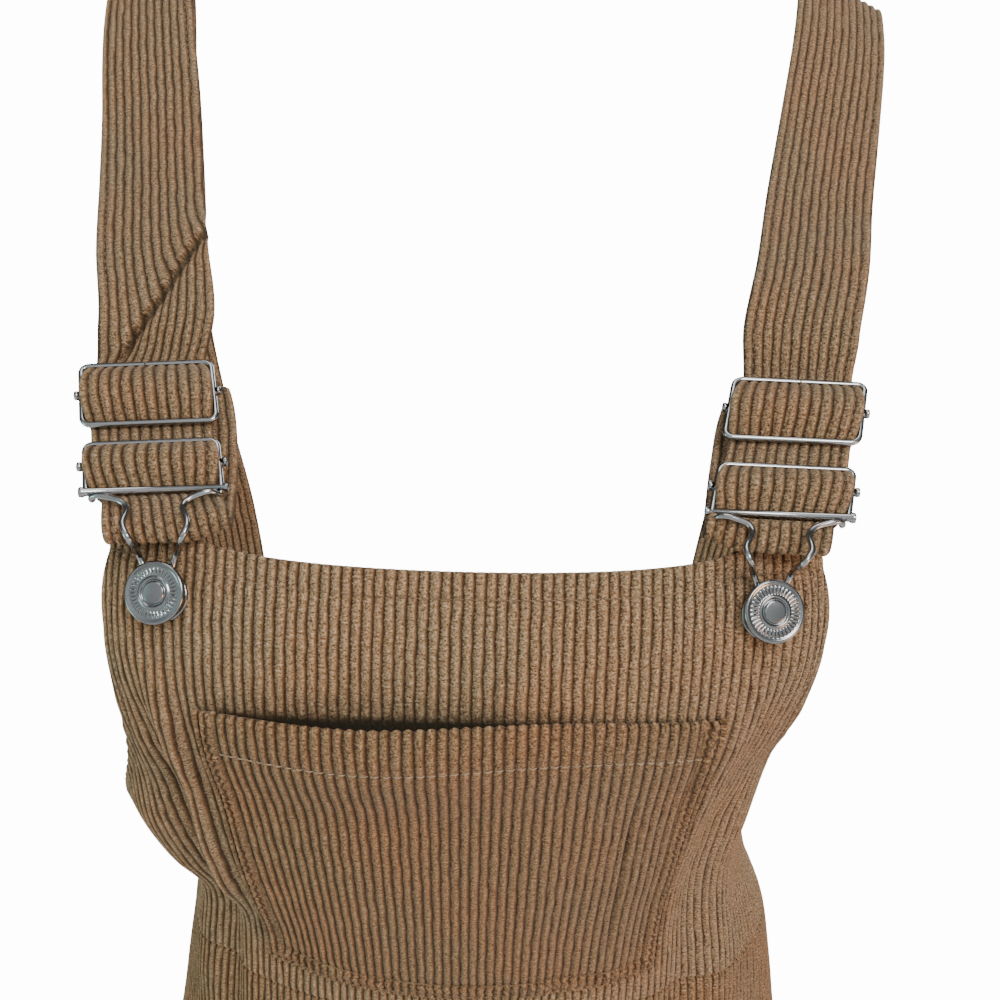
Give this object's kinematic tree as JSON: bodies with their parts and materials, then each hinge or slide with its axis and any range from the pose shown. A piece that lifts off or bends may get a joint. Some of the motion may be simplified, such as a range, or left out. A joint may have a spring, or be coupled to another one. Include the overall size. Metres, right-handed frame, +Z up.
{
  "type": "overall skirt",
  "caption": "Corduroy overall skirt, hollow as worn: bib with patch pocket, straps over the shoulders with sliders, buckles and hooks on buttons, flared skirt.",
  "frame": {"origin": "on the centre line, between the two straps where they cross the wearer's shoulders, where the garment is held up", "axes": "+Z up, the wearer's front faces -Y, the viewer's right is +X"},
  "size_m": [0.4097, 0.3007, 0.8179],
  "materials": {
    "corduroy": "tan wide-wale cotton corduroy, brushed nap",
    "nickel": "polished dark nickel plate"
  },
  "bodies": {
    "root": {"bib_front": "corduroy", "bib_back": "corduroy", "bib_pocket": "corduroy", "skirt_front": "corduroy", "skirt_back": "corduroy", "strap_left": "corduroy", "strap_right": "corduroy", "slider_left": "nickel", "slider_right": "nickel", "buckle_left": "nickel", "buckle_right": "nickel", "hook_left": "nickel", "hook_right": "nickel", "button_left": "nickel", "button_right": "nickel", "button_base_left": "nickel", "button_base_right": "nickel"}
  },
  "joints": []
}
